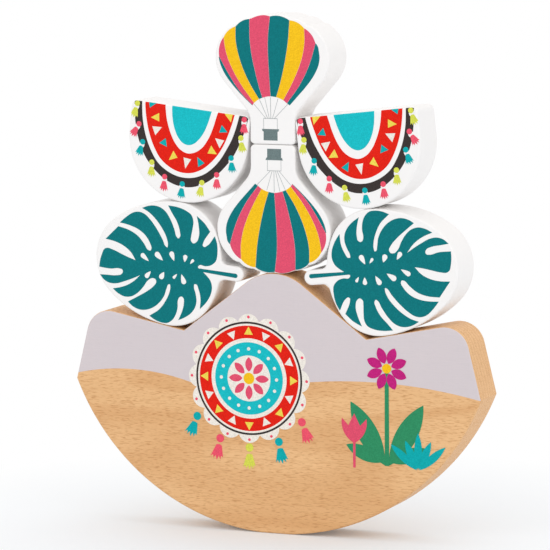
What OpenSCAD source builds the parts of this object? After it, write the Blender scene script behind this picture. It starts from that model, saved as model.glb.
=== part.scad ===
// Stacking balance game: a rocker and six painted wooden blocks that rest on it.
// Millimetres, Z up. The origin is on the table, under the middle of the rocker.

/* [Wood] */
// Thickness of the board that every block is cut from
stock = 27; // [20:0.5:36]
// Bare rim between the ink and the edge of a board, where the ink runs to the edge
ink_margin = 0.3; // [0.2:0.1:2]
// How far the ink stands on the wood
ink_rise = 0.15; // [0.1:0.05:0.3]
// Gap between blocks that rest on each other
seat_gap = 0.15; // [0.05:0.05:0.4]

/* [Rocker] */
// Radius of the rocking edge
rocker_round = 129.3; // [120:0.1:140]
// Width across the two lower corners
rocker_width = 240; // [225:1:250]
// Width of the small flat on which the rocker comes to rest
rest_flat = 18; // [8:1:30]
// Lean of the short side faces, in degrees
side_lean = 13.8; // [5:0.1:20]
// Rounding of the shoulders
shoulder_round = 14; // [6:0.5:16]
// Height of the two notches
notch_height = 111; // [104:0.1:118]
// Slope of the ledges, in degrees
ledge_slope = 11.5; // [8:0.1:16]
// Slope of the mound's sides, in degrees
mound_slope = 37; // [34:0.1:40]
// Height of the mound
mound_height = 144.9; // [138:0.1:150]
// Rounding of the mound's top
mound_round = 27; // [20:0.5:34]

/* [Leaf blocks] */
// Length of the leaf from its back to its tip
leaf_length = 75.9; // [68:0.1:80]
// Rounding of the tip
leaf_tip_round = 27; // [22:0.5:32]
// Rounding of the two shoulders beside the stem
leaf_shoulder_round = 26.4; // [22:0.1:30]
// Half distance between the shoulders' centres
leaf_shoulder_spread = 8.4; // [6:0.1:10]
// Rounding of the back edge
leaf_back_round = 46; // [42:0.5:60]
// Rounding of the two long edges
leaf_flank_round = 62; // [54:0.5:80]
// Length of the stem behind the leaf
leaf_stem_length = 13.5; // [8:0.5:15]
// Width of the stem
leaf_stem_width = 8.4; // [6:0.2:11]
// Tilt of the leaf on its ledge, in degrees
leaf_tilt = 6.5; // [3:0.1:9]

/* [Half-round blocks] */
// Radius of the round edge
half_round = 35.6; // [30:0.1:37]
// Height of the straight sides above the round edge
half_straight = 17; // [12:0.5:20]
// Rounding of the two upper corners
half_corner = 3.5; // [2:0.1:6]
// Tilt of the block, in degrees
half_tilt = 6.5; // [3:0.1:9]

/* [Balloon blocks] */
// Length from the foot of the basket end to the top of the balloon
balloon_length = 71; // [66:0.5:76]
// Distance from the basket end to the widest place
balloon_belly = 47; // [44:0.5:50]
// Half of the balloon's width
balloon_half = 33.5; // [30:0.1:34]
// Rounding of the balloon's sides
balloon_side_round = 20; // [17:0.5:23]
// Slope of the lower sides away from upright, in degrees
balloon_flare = 41; // [36:0.5:45]
// Half of the neck's width
neck_half = 13.2; // [10:0.1:13.6]
// Rounding of the neck's corners
neck_corner = 2.6; // [2:0.1:4]
// Rounding where the neck meets the balloon
neck_fillet = 12; // [8:0.5:14]
// Height of the scallops between the gores
scallop = 0.6; // [0.3:0.1:1.2]

/* [Leaf print] */
// Bare rim around the leaf print
leaf_rim = 3; // [2:0.1:5]
// How far the slits run past the edge of the print
slit_past = 4; // [3:0.5:6]
// Length of the small holes beside the midrib
hole_length = 5; // [3:0.1:6]
// Width of the small holes
hole_width = 2.8; // [1.5:0.1:3]
// Width of the green strip on the stem
stalk_width = 2.5; // [1.5:0.1:4]

/* [Half-round print] */
// Height of the bands' shared centre
band_centre = 6.8; // [4:0.1:10]
// Radius of the inner field
field_round = 11.8; // [9:0.1:13]
// Inner radius of the wide band
band_inner = 14.8; // [13.5:0.1:17]
// Outer radius of the wide band
band_outer = 27; // [24:0.1:28]
// Inner radius of the narrow band
border_inner = 29.2; // [28.5:0.1:31]
// Outer radius of the narrow band
border_outer = 34.2; // [33:0.1:34.2]
// Size of the triangles
triangle_size = 3.2; // [2:0.1:4]
// Radius on which the tassels' heads lie
tassel_ring = 33; // [31:0.1:33.5]
// Length of a tassel below its head
tassel_length = 6; // [4:0.1:6.5]
// Width of a tassel at its foot
tassel_width = 3.8; // [2:0.1:4.5]

/* [Balloon print] */
// Bare rim beside the balloon print
balloon_rim = 3.2; // [2:0.1:5]
// Gap between the gores
gore_gap = 0.12; // [0.1:0.02:0.4]
// Half of the mouth's width
mouth_half = 11; // [9:0.1:12]
// Height of the mouth's corners
mouth_low = 21.7; // [20:0.1:23]
// Height of the middle of the mouth
mouth_high = 26.5; // [24:0.1:28]
// Width of the basket
basket_width = 8.2; // [6:0.1:10]
// Distance of the basket's middle to the left
basket_left = 1.2; // [0:0.1:2]
// Height of the basket's foot
basket_low = 2.9; // [2:0.1:4]
// Height of the basket's rim
basket_high = 8.3; // [7:0.1:10]
// Height at which the ropes part
rope_fork = 15; // [12:0.1:18]
// Width of a printed rope
rope_width = 0.35; // [0.2:0.05:0.6]

/* [Rocker print] */
// Height of the dunes
dune_height = 87.7; // [80:0.1:92]
// Radius of the left dune
left_dune_round = 133; // [110:1:160]
// Radius of the right dune
right_dune_round = 300; // [250:1:350]
// Distance of the rosette's centre to the left
rosette_left = 15; // [5:0.5:25]
// Height of the rosette's centre
rosette_high = 86; // [80:0.5:92]
// Radius of the rosette without its scallops
rosette_round = 32; // [26:0.5:34]
// Number of scallops around the rosette
rosette_scallops = 16; // [12:2:24]
// Distance of the plants to the right
plant_right = 66; // [60:0.5:72]
// Height of the ground under the plants
plant_ground = 40; // [36:0.5:46]
// Height of the tallest leaf
plant_height = 46; // [36:0.5:50]
// Radius of the flower
flower_round = 12; // [8:0.5:14]

/* [Colours] */
// Bare beech
beech = "#E0B27E"; // color
// White paint
white_paint = "#F6F3F0"; // color
// Evening sky on the rocker
sky_paint = "#D6CFD2"; // color
// Green of the leaves and of the darker gores
leaf_ink = "#00797D"; // color
// Pink of the gores and tassels
pink_ink = "#E4526E"; // color
// Yellow of the gores and of the small motifs
yellow_ink = "#F8C21E"; // color
// Grey of the basket and ropes
basket_ink = "#70807F"; // color
// Turquoise
turquoise_ink = "#18B9C1"; // color
// Red
red_ink = "#DE2417"; // color
// Dark band
dark_ink = "#3A3230"; // color
// Lime of the tassels
lime_ink = "#D6DA50"; // color
// Green of the plants
plant_ink = "#2F8F62"; // color
// Magenta of the flower
magenta_ink = "#C4207C"; // color
// Cream ground of the rosette
cream_ink = "#F3ECE2"; // color

/* [Hidden] */
$fn = 64;
$inset = 0;
// Length of cutters and bounding shapes, and how far cutters pass the faces they cut
reach = 300;
over = 1;
// Angle by which an arc stops before the arc that it runs into
arc_trim = 0.6;
// Depth of the ink below the face that it lies on
sink = 0.6;
// Radius of a tassel's head
tassel_head = 1.3;

function unit(v) = v / norm(v);
function turned(p, a) = [p.x * cos(a) - p.y * sin(a), p.x * sin(a) + p.y * cos(a)];
function mirrored(p) = [-p.x, p.y];
function flipped(p) = [p.x, -p.y];
// Point at distance a from p and b from q, on the left going from p to q
function meeting(p, a, q, b) =
    let (d = norm(q - p), u = unit(q - p), along = (a * a - b * b + d * d) / (2 * d))
    p + u * along + [-u.y, u.x] * sqrt(a * a - along * along);
// How high one disc rests above another, given the distance across and between their centres
function rise(across, apart) =
    abs(across) < apart ? sqrt(apart * apart - across * across) : -reach;
// Crossing of two lines, each given by a point and a direction
function crossing(p, u, q, v) =
    p + u * (((q.x - p.x) * v.y - (q.y - p.y) * v.x) / (u.x * v.y - u.y * v.x));

// Rocker, as seen from the front
rocker_sag = rocker_round - sqrt(pow(rocker_round, 2) - pow(rest_flat / 2, 2));
rocker_centre = [0, rocker_round - rocker_sag];
corner_z = rocker_centre.y - sqrt(pow(rocker_round, 2) - pow(rocker_width / 2, 2));
mound_centre = [0, mound_height - mound_round];
mound_apex = mound_centre + [0, mound_round / cos(mound_slope)];
mound_touch = mound_centre + turned([0, mound_round], mound_slope);
notch = [(mound_apex.y - notch_height) / tan(mound_slope), notch_height];
ledge_dir = turned([1, 0], ledge_slope);
side_dir = turned([0, 1], side_lean);
shoulder_tip = crossing(notch, ledge_dir, [rocker_width / 2, corner_z], side_dir);
shoulder_turn = 90 + ledge_slope - side_lean;
shoulder_set = shoulder_round / tan(shoulder_turn / 2);
shoulder_centre = crossing(
    shoulder_tip + turned([0, -shoulder_round], ledge_slope), ledge_dir,
    shoulder_tip + turned([-shoulder_round, 0], side_lean), side_dir);

// Leaf, with its stem towards -x
leaf_tip = [leaf_length / 2 - leaf_tip_round, 0];
leaf_back = [leaf_back_round - leaf_length / 2, 0];
leaf_shoulder = leaf_back + [
    -sqrt(pow(leaf_back_round - leaf_shoulder_round, 2) - pow(leaf_shoulder_spread, 2)),
    leaf_shoulder_spread];
leaf_flank = meeting(leaf_tip, leaf_flank_round - leaf_tip_round,
    leaf_shoulder, leaf_flank_round - leaf_shoulder_round);
leaf_stem_end = -leaf_length / 2 - leaf_stem_length;

// Seat of the right leaf: its lower shoulder lies in the notch, or further out on the ledge
// where the two stems would meet
leaf_drop = leaf_shoulder_round + seat_gap;
notch_seat = crossing(
    notch + turned([0, leaf_drop], ledge_slope), ledge_dir,
    notch + turned([0, leaf_drop], -mound_slope), turned([1, 0], -mound_slope))
    - turned([leaf_shoulder.x, -leaf_shoulder.y], leaf_tilt);
stem_reach = turned([leaf_stem_end + leaf_stem_width / 2, 0], leaf_tilt);
leaf_place = notch_seat + ledge_dir * max(0,
    ((leaf_stem_width + seat_gap) / 2 - notch_seat.x - stem_reach.x) / ledge_dir.x);
leaf_crest = leaf_place + turned(leaf_shoulder, leaf_tilt);
stem_tip = leaf_place + stem_reach;

// Balloon, with its basket end at y = 0 and its top at +y
balloon_side = [balloon_half - balloon_side_round, balloon_belly];
dome_height = balloon_length - balloon_belly;
dome_round = (pow(balloon_side.x, 2) + pow(dome_height, 2) - pow(balloon_side_round, 2))
    / (2 * (dome_height - balloon_side_round));
dome_centre = [0, balloon_length - dome_round];
flank_touch = balloon_side + turned([balloon_side_round, 0], -balloon_flare);
flank_dir = turned([0, 1], -balloon_flare);
flank_foot = crossing(flank_touch, flank_dir, [neck_half, 0], [0, 1]);
fillet_set = neck_fillet * tan(balloon_flare / 2);
fillet_centre = [neck_half + neck_fillet, flank_foot.y - fillet_set];
fillet_end = flank_foot + flank_dir * fillet_set;
// Places of the cusps between the gores, as shares of the way over the top
crown_shares = [0, 0.36, 0.61, 0.81];
function crown(x) = dome_centre + [x, sqrt(pow(dome_round - scallop, 2) - x * x)];
cusps = [for (s = crown_shares) crown(s * balloon_half)];
lobe_bulge = 1.7 * scallop;

function lobe_centre(i) = let (
    a = cusps[i], b = cusps[i + 1], c = norm(b - a) / 2, r = lobe_radius(i), u = unit(b - a))
    (a + b) / 2 + [u.y, -u.x] * sqrt(r * r - c * c);
function lobe_radius(i) = let (c = norm(cusps[i + 1] - cusps[i]) / 2)
    (c * c + lobe_bulge * lobe_bulge) / (2 * lobe_bulge);

// Seats of the balloons: the lower one upside down on the mound, or between the leaves
// where they stand higher
lower_z = max(
    mound_centre.y + lobe_centre(0).y
        + rise(lobe_centre(0).x, mound_round + lobe_radius(0) + seat_gap),
    leaf_crest.y + balloon_side.y + rise(leaf_crest.x - balloon_side.x,
        leaf_shoulder_round + balloon_side_round + seat_gap),
    stem_tip.y + balloon_side.y + rise(stem_tip.x - balloon_side.x,
        leaf_stem_width / 2 + balloon_side_round + seat_gap),
    stem_tip.y + dome_centre.y + rise(stem_tip.x, leaf_stem_width / 2 + dome_round + seat_gap));
upper_z = lower_z + seat_gap;

// Seat of the right half-round: on the leaf's shoulder or its flank, with its inner corner at
// the neck, or further out where the balloon's side is in the way
half_corner_centre = [-(half_round - half_corner), half_straight - half_corner];
half_x = neck_half + seat_gap + half_corner - turned(half_corner_centre, half_tilt).x;
half_drop = half_round + seat_gap;
lower_flank = [flank_touch.x, lower_z - flank_touch.y];
leaf_flank_place = leaf_place + turned([leaf_flank.x, -abs(leaf_flank.y)], leaf_tilt);
leaf_flank_end = leaf_crest - leaf_flank_place;
// Direction of the half-round from the centre of the leaf's arc that carries it
function half_turn(p, r) = min(acos((half_x - p.x) / (r + half_drop)), balloon_flare
    + acos((half_drop - (p - lower_flank) * turned([1, 0], balloon_flare)) / (r + half_drop)));
function half_on(p, r) = p + turned([r + half_drop, 0], half_turn(p, r));
half_place = half_turn(leaf_crest, leaf_shoulder_round) > atan2(leaf_flank_end.y, leaf_flank_end.x)
    ? half_on(leaf_crest, leaf_shoulder_round) : half_on(leaf_flank_place, leaf_flank_round);

// Print on the leaf. Each slit: its root, its mouth, the radius of its root and the width of
// its mouth, first above the midrib and then below it
slits = [
    [[20.7, -8.7], [34, -11], 1.5, 3.8],
    [[13.8, -1], [32, 5], 0.4, 4.8],
    [[6.5, 6.5], [25.4, 17], 1.3, 2.4],
    [[-3.6, 10], [14, 27], 0.9, 3.2],
    [[-10.4, 15.8], [-1.4, 31.5], 1, 3.6],
    [[-20.6, 15.4], [-19.8, 28.4], 1.8, 2.4],
    [[-27.2, 13.4], [-31, 20.2], 1.1, 3.2],
    [[-24.6, 0.5], [-33, 2.4], 0.7, 2],
    [[10.2, -9.3], [27, -17.6], 0.4, 3],
    [[2.2, -12], [14.8, -24.2], 2, 2.6],
    [[-7.6, -13.4], [3.6, -30.4], 1, 3.2],
    [[-16.3, -19], [-13.4, -32], 1.5, 3.4],
    [[-24, -10.5], [-26.5, -23], 1.2, 2.8]];
// Each hole: its place, its direction and its share of the full length
holes = [
    [[6.9, 0.2], 33, 0.9], [[-1.4, 2.2], 41, 1], [[-8.6, 3.1], 62, 1], [[-16.1, 3.5], 95, 0.9],
    [[-20.6, 2.9], 113, 0.55], [[4.7, -7.4], 128, 0.9], [[-3.3, -6.7], 130, 0.95],
    [[-11.7, -6], 128, 0.6], [[-16, -6.5], 53, 1]];
// White ground below the stalk
leaf_gap = [[-27.6, -2], [-60, -1.2], [-60, -30], [-35.4, -13], [-33.4, -8.6], [-31, -4.6]];
stalk_root = [-24, -1.2];
stalk_end = [-47, -0.4];

// Print on the half-round: directions from the bands' centre
triangle_turns = [20, 4, -17, -40, -65, -90, -113, -136, -158, -182, -200];
tassel_turns = [11, -9, -28, -49, -69, -88, -107, -127, -149, -170, -191];

// Print on the balloon: boundaries between the gores at three heights, and their inks
crown_splits = [-60, -44, -27.2, -20.4, -12, 0, 12, 20.4, 27.2, 50];
belly_splits = [-40, -27.9, -24.4, -18.8, -9, -1.7, 10.3, 17.6, 22.3, 40];
mouth_splits = [-20, -13, -11.2, -8.5, -4, -0.6, 4.7, 7, 9, 20];
gore_inks = [0, 1, 2, 0, 1, 0, 2, 1, 0];

// Print on the rocker
left_dune_x = -88;
right_dune_x = 55;
scallop_round = 6.4;
petals = 8;

// Point on a large arc, a little before it runs into the smaller arc about q
function run_back(p, q, r, side) = p + turned(unit(q - p) * (r - $inset), side * arc_trim);

// Outlines are drawn flat; $inset moves every edge inwards
module disc(r) {
    circle(r = r - $inset);
}

// Everything below a line through a point
module below_line(p, a) {
    translate(p) rotate(a) translate([-reach, -reach - $inset]) square([2 * reach, reach]);
}

// A board of the outline, standing on its back
module board() {
    linear_extrude(height = stock) children();
}

module rocker_outline() {
    rocker_third() ledge();
    rocker_third() mirror([1, 0, 0]) ledge();
    rocker_third() mound();
}

module rocker_third() {
    intersection() {
        union() children();
        translate(rocker_centre) disc(rocker_round);
    }
}

module ledge() {
    along = shoulder_tip - ledge_dir * shoulder_set;
    down = shoulder_tip - side_dir * shoulder_set;
    foot = down + side_dir * -(down.y + over) / side_dir.y;
    intersection() {
        below_line(notch, ledge_slope);
        below_line([rocker_width / 2, corner_z], side_lean - 90);
        polygon([[-over, -over], foot, down, along, [along.x, 2 * notch.y], [-over, 2 * notch.y]]);
    }
    translate(shoulder_centre) disc(shoulder_round);
}

module mound() {
    t = mound_touch.y;
    intersection() {
        below_line(mound_apex, mound_slope);
        below_line(mound_apex, -mound_slope);
        polygon([[-reach, -over], [reach, -over], [reach, t], [-reach, t]]);
    }
    translate(mound_centre) disc(mound_round);
}

// The flanks and the back end just before they run into the tip and the shoulders
module leaf_outline() {
    tip_end = run_back(leaf_flank, leaf_tip, leaf_flank_round, 1);
    side_end = run_back(leaf_flank, leaf_shoulder, leaf_flank_round, -1);
    back_end = run_back(leaf_back, leaf_shoulder, leaf_back_round, 1);
    intersection() {
        translate(leaf_flank) disc(leaf_flank_round);
        translate(flipped(leaf_flank)) disc(leaf_flank_round);
        translate(leaf_back) disc(leaf_back_round);
        polygon([
            crossing(tip_end, [0, 1], side_end, side_end - back_end),
            crossing(side_end, side_end - back_end, [0, 0], [1, 0]),
            flipped(crossing(tip_end, [0, 1], side_end, side_end - back_end))]);
    }
    translate(leaf_tip) disc(leaf_tip_round);
    for (side = [-1, 1]) translate([leaf_shoulder.x, side * leaf_shoulder.y])
        disc(leaf_shoulder_round);
}

module leaf_stem() {
    end = leaf_stem_end + leaf_stem_width / 2;
    intersection() {
        below_line([0, leaf_stem_width / 2], 0);
        below_line([0, -leaf_stem_width / 2], 180);
        polygon([[end, -reach], [0, -reach], [0, reach], [end, reach]]);
    }
    translate([end, 0]) disc(leaf_stem_width / 2);
}

module half_outline() {
    c = half_corner_centre;
    intersection() {
        below_line([0, half_straight], 0);
        below_line([-half_round, 0], 90);
        below_line([half_round, 0], -90);
        polygon([[-half_round, 0], [half_round, 0], [half_round, c.y], [-c.x, half_straight],
            [c.x, half_straight], [-half_round, c.y]]);
    }
    for (side = [-1, 1]) translate([side * c.x, c.y]) disc(half_corner);
    intersection() {
        disc(half_round);
        translate([-reach, -reach]) square([2 * reach, reach]);
    }
}

module balloon_outline() {
    balloon_dome();
    balloon_cone();
    balloon_neck();
}

// The scalloped top; its lobes may have a smaller inset than its sides
module balloon_dome(lobe_inset = 0) {
    for (side = [0, 1]) mirror([side, 0, 0]) {
        translate(balloon_side) disc(balloon_side_round);
        for (i = [0:len(cusps) - 2])
            translate(lobe_centre(i)) disc(lobe_radius(i), $inset = lobe_inset);
    }
}

module balloon_cone() {
    t = flank_touch - turned([$inset, 0], -balloon_flare);
    foot = flank_foot.y - neck_corner;
    intersection() {
        translate(dome_centre) disc(dome_round - 1.5 * scallop);
        below_line(flank_touch, -90 - balloon_flare);
        below_line(mirrored(flank_touch), 90 + balloon_flare);
        translate([-t.x + arc_trim, foot])
            square([2 * (t.x - arc_trim), crown(t.x).y - foot]);
    }
}

module balloon_neck() {
    w = neck_half;
    c = neck_corner;
    top = flank_foot.y + c;
    polygon([[-w, c], [c - w, 0], [w - c, 0], [w, c], [w, top], [-w, top]]);
    for (side = [-1, 1]) {
        translate([side * (w - c), c]) disc(c);
        mirror([side > 0 ? 0 : 1, 0, 0]) difference() {
            polygon([[w - c, fillet_centre.y], [w, fillet_centre.y], fillet_end,
                fillet_end - [c, 0]]);
            translate(fillet_centre) circle(r = neck_fillet);
        }
    }
}

// Ink on the front face, from a plan; each layer lies on the one before
module ink(layer = 1) {
    translate([0, 0, stock - sink]) linear_extrude(height = sink + layer * ink_rise) children();
}

// A petal or grain along the x axis
module lens(length, width) {
    r = (length * length + width * width) / (4 * width);
    intersection() {
        translate([length / 2, r - width / 2]) circle(r = r);
        translate([length / 2, width / 2 - r]) circle(r = r);
    }
}

module ring(outer, inner) {
    difference() {
        circle(r = outer);
        circle(r = inner);
    }
}

// A bar between two points
module bar(p, q, width) {
    n = turned(unit(q - p), 90) * width / 2;
    polygon([p - n, q - n, q + n, p + n]);
}

// A head with a flared skirt below it
module tassel(head, width, length) {
    circle(r = head);
    polygon([[-head / 2, -head * 1.3], [-width / 2, -length], [width / 2, -length],
        [head / 2, -head * 1.3]]);
}

module sky() {
    difference() {
        rocker_outline($inset = ink_margin);
        translate([left_dune_x, dune_height - left_dune_round]) circle(r = left_dune_round);
        translate([right_dune_x, dune_height - right_dune_round]) circle(r = right_dune_round);
    }
}

// Round ornament of scallops, rings, triangles and petals, with tassels below it
module rosette() {
    r = rosette_round;
    step = 360 / rosette_scallops;
    color(cream_ink) ink(2) {
        circle(r = r);
        for (i = [1:rosette_scallops]) rotate(i * step) translate([r, 0])
            circle(r = scallop_round);
    }
    color(dark_ink) ink(3) ring(r + 1.6, r + 0.6);
    color(red_ink) ink(3) ring(r - 1, r * 0.7);
    color(turquoise_ink) ink(3) ring(r * 0.63, r * 0.4);
    for (i = [1:rosette_scallops]) rotate(i * step) {
        color(i % 2 == 0 ? yellow_ink : cream_ink) ink(4) translate([r * 0.83, 0])
            rotate(i % 2 * 180) triangle();
        color(cream_ink) ink(4) translate([r * 0.515, 0]) circle(r = r / 32);
    }
    for (i = [1:petals]) color(pink_ink) ink(3) rotate(i * 360 / petals)
        translate([r * 0.08, 0]) lens(r * 0.28, r * 0.13);
    color(yellow_ink) ink(4) circle(r = r * 0.1);
    for (i = [0:4]) {
        a = -90 + (i - 2) * 27;
        color([turquoise_ink, pink_ink, lime_ink][i % 3]) ink(4)
            translate(turned([r + scallop_round, 0], a)) rotate((a + 90) * 0.4)
                tassel(2.4, 7, 12);
    }
}

module triangle() {
    circle(r = triangle_size, $fn = 3);
}

// Leaves that spread from the origin, given by their directions
module tuft(turns, length, width) {
    for (i = [0:len(turns) - 1]) rotate(turns[i]) translate([i % 2 - 3, 0])
        lens(length - 4 * (i % 2), width);
}

// A flower on a leafy stem between a tulip and a tuft of grass
module plants() {
    h = plant_height;
    r = flower_round;
    color(plant_ink) ink(2) {
        tuft([62, 90, 118], h, h * 0.3);
        translate([-1.4, 5]) square([2.8, h + r * 0.5]);
    }
    for (i = [1:petals]) color(magenta_ink) ink(3) translate([0, h + r * 0.8])
        rotate((i + 0.5) * 360 / petals) translate([r * 0.2, 0]) lens(r * 0.8, r * 0.4);
    color(yellow_ink) ink(4) translate([0, h + r * 0.8]) circle(r = r * 0.22);
    color(pink_ink) ink(3) translate([-19, 0]) {
        translate([-0.9, 0]) square([1.8, 16]);
        translate([0, 15]) tuft([66, 90, 114], 17, 6.6);
    }
    color(turquoise_ink) ink(3) translate([18, 0]) tuft([48, 69, 90, 111, 132], 21, 4.6);
}

module leaf_print() {
    difference() {
        leaf_outline($inset = leaf_rim);
        for (s = slits) slit(s[0], s[1], s[2], s[3]);
        for (h = holes) translate(h[0]) rotate(h[1]) translate([-hole_length * h[2] / 2, 0])
            lens(hole_length * h[2], hole_width * h[2]);
        polygon(leaf_gap);
    }
    bar(stalk_root, stalk_end, stalk_width);
    translate(stalk_end) circle(r = stalk_width / 2 + 0.02);
}

// A slit with a round root, which widens or narrows towards its mouth
module slit(root, mouth, r, width) {
    u = unit(mouth - root);
    n = turned(u, 90);
    far = root + u * (norm(mouth - root) + slit_past);
    polygon([root + n * (r - 0.05), far + n * width / 2, far - n * width / 2,
        root - n * (r - 0.05)]);
    translate(root) circle(r = r);
}

// A band's outline: round below its centre and straight above it
module u_shape(r) {
    translate([0, band_centre]) circle(r = r);
    translate([-r, band_centre]) square([2 * r, reach]);
}

module u_band(outer, inner) {
    intersection() {
        half_outline($inset = ink_margin);
        difference() {
            u_shape(outer);
            if (inner > 0) u_shape(inner);
        }
    }
}

module half_print() {
    color(turquoise_ink) ink() u_band(field_round, 0);
    color(red_ink) ink() u_band(band_outer, band_inner);
    color(dark_ink) ink() u_band(border_outer, border_inner);
    middle = (band_inner + band_outer) / 2;
    for (i = [0:len(triangle_turns) - 1])
        color([leaf_ink, yellow_ink, cream_ink][i % 3]) ink(2)
            translate([0, band_centre]) translate(turned([middle, 0], triangle_turns[i]))
                rotate(i % 2 * 60 + triangle_turns[i]) triangle();
    for (i = [0:len(tassel_turns) - 1]) {
        a = tassel_turns[i];
        color([lime_ink, pink_ink, turquoise_ink][i % 3]) ink(2)
            translate([0, band_centre]) translate(turned([tassel_ring, 0], a))
                rotate((abs(a + 90) < 75 ? a + 90 : 0) * 0.15)
                    tassel(tassel_head, tassel_width, tassel_length);
    }
}

// Boundary between two gores at height y, a parabola through three of its points
function split(i, y) = let (
    a = mouth_high, b = balloon_belly, c = balloon_length,
    u = (y - b) * (y - c) / ((a - b) * (a - c)),
    v = (y - a) * (y - c) / ((b - a) * (b - c)),
    w = (y - a) * (y - b) / ((c - a) * (c - b)))
    u * mouth_splits[i] + v * belly_splits[i] + w * crown_splits[i];

// One gore, between two boundaries
module gore(i) {
    intersection() {
        union() {
            balloon_dome(lobe_inset = ink_margin, $inset = balloon_rim);
            balloon_cone($inset = balloon_rim);
        }
        polygon([
            for (y = [mouth_low:3.5:balloon_length + 3]) [split(i, y) + gore_gap / 2, y],
            for (y = [balloon_length + 3:-3.5:mouth_low]) [split(i + 1, y) - gore_gap / 2, y]]);
    }
}

module balloon_print() {
    mouth_round = (pow(mouth_half, 2) + pow(mouth_high - mouth_low, 2))
        / (2 * (mouth_high - mouth_low));
    inks = [leaf_ink, pink_ink, yellow_ink];
    for (i = [0:len(gore_inks) - 1]) color(inks[gore_inks[i]]) ink() difference() {
        gore(i);
        translate([0, mouth_high - mouth_round]) circle(r = mouth_round);
    }
    color(basket_ink) ink() {
        translate([-basket_left - basket_width / 2, basket_low])
            square([basket_width, basket_high - basket_low]);
        translate([-basket_left - basket_width / 2 - 1, basket_high - 0.8])
            square([basket_width + 2, 0.8]);
        for (side = [-1, 1], x = [0.28, 0.64, 1]) {
            top = side * x * mouth_half * 0.95;
            fork = side * x * basket_width * 0.45;
            bar([fork, rope_fork], [top, mouth_high - mouth_round - rope_width
                + sqrt(pow(mouth_round, 2) - top * top)], rope_width);
            if (x == 1) bar([fork - basket_left, basket_high - 0.4], [fork, rope_fork], rope_width);
        }
        bar([-basket_width * 0.45, rope_fork], [basket_width * 0.45, rope_fork], rope_width);
    }
}

// The blocks lie with their printed faces up and are stood up at their places
module rocker_base() {
    color(beech) board() difference() {
        rocker_outline();
        translate([-rest_flat, -rest_flat]) square([2 * rest_flat, rest_flat]);
    }
    color(sky_paint) ink() sky();
    translate([-rosette_left, rosette_high, 0]) rosette();
    translate([plant_right, plant_ground, 0]) plants();
}

module leaf_block() {
    color(white_paint) board() {
        leaf_outline();
        leaf_stem();
    }
    color(leaf_ink) ink() leaf_print();
}

module half_block() {
    color(white_paint) board() half_outline();
    half_print();
}

module balloon_block() {
    color(white_paint) board() balloon_outline();
    balloon_print();
}

// Stands a block up at its place, with its printed face to the front
module stand(place, tilt = 0) {
    translate([place.x, stock / 2, place.y]) rotate([0, -tilt, 0]) rotate([90, 0, 0]) children();
}

stand([0, 0]) rocker_base();
mirror([1, 0, 0]) stand(leaf_place, leaf_tilt) leaf_block();  // leaf_block_left
// The right leaf is the left one turned half round, so its print stands on its head
stand(leaf_place, leaf_tilt) mirror([0, 1, 0]) leaf_block();  // leaf_block_right
mirror([1, 0, 0]) stand(half_place, half_tilt) half_block();  // half_round_block_left
stand(half_place, half_tilt) half_block();  // half_round_block_right
stand([0, lower_z], 180) balloon_block();  // balloon_block_lower
stand([0, upper_z]) balloon_block();  // balloon_block_upper
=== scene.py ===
"""Stacking balance game: painted blocks on a printed beech rocker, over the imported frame."""

from math import atan2, ceil, cos, degrees, pi, radians, sin, sqrt, tan
from types import SimpleNamespace

import bmesh
import bpy
from bpy.props import FloatProperty, FloatVectorProperty, PointerProperty
from mathutils import Matrix, Vector
from mathutils.geometry import interpolate_bezier


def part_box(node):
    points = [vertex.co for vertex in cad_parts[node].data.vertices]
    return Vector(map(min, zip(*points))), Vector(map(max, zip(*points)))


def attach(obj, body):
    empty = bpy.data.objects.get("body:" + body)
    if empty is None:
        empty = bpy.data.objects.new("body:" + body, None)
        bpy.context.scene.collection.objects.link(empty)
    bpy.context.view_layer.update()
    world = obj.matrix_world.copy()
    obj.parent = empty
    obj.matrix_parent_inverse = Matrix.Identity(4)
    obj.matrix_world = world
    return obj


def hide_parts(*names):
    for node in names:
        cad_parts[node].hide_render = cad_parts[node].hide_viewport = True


bl_info = {
    "name": "Stacking balance game",
    "version": (1, 0, 0),
    "blender": (4, 5, 0),
    "location": "3D View > Sidebar > Balance game",
    "description": "Models the rocker and the six painted blocks of a balance game",
    "category": "Object",
}

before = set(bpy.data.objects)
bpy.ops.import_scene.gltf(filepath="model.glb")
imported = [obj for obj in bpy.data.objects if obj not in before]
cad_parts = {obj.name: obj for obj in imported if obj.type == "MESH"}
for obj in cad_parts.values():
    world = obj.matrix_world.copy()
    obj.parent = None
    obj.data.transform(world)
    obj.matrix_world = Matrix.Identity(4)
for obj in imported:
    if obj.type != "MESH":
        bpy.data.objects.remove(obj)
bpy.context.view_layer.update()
MM = 0.001
BOARD = 2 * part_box("leaf_block_right")[1].y


# Settings


def linear(text):
    """The colour that a screen shows for a code such as #FBC418, as Blender stores it."""
    parts = [int(text[i : i + 2], 16) / 255 for i in (1, 3, 5)]
    return [p / 12.92 if p < 0.04045 else ((p + 0.055) / 1.055) ** 2.4 for p in parts]


def length(name, text, default):
    return FloatProperty(
        name=name, description=text, default=default * MM, unit="LENGTH", min=0, precision=4
    )


def angle(name, text, default):
    return FloatProperty(name=name, description=text, default=radians(default), subtype="ANGLE")


def colour(name, text, default):
    return FloatVectorProperty(
        name=name, description=text, default=linear(default), subtype="COLOR", min=0, max=1
    )


def power(name, text, default):
    return FloatProperty(name=name, description=text, default=default, unit="POWER", min=0)


class BoardSizes(bpy.types.PropertyGroup):
    thickness: length("Thickness", "Thickness of the board", BOARD / MM)
    eased_edge: length("Eased edge", "Radius of the sanded edges", 1.2)
    ink_height: length("Ink height", "How far the ink stands on the wood", 0.05)
    ink_wrap: length("Ink wrap", "How far the ink follows the eased edge back", 0.4)


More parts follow.
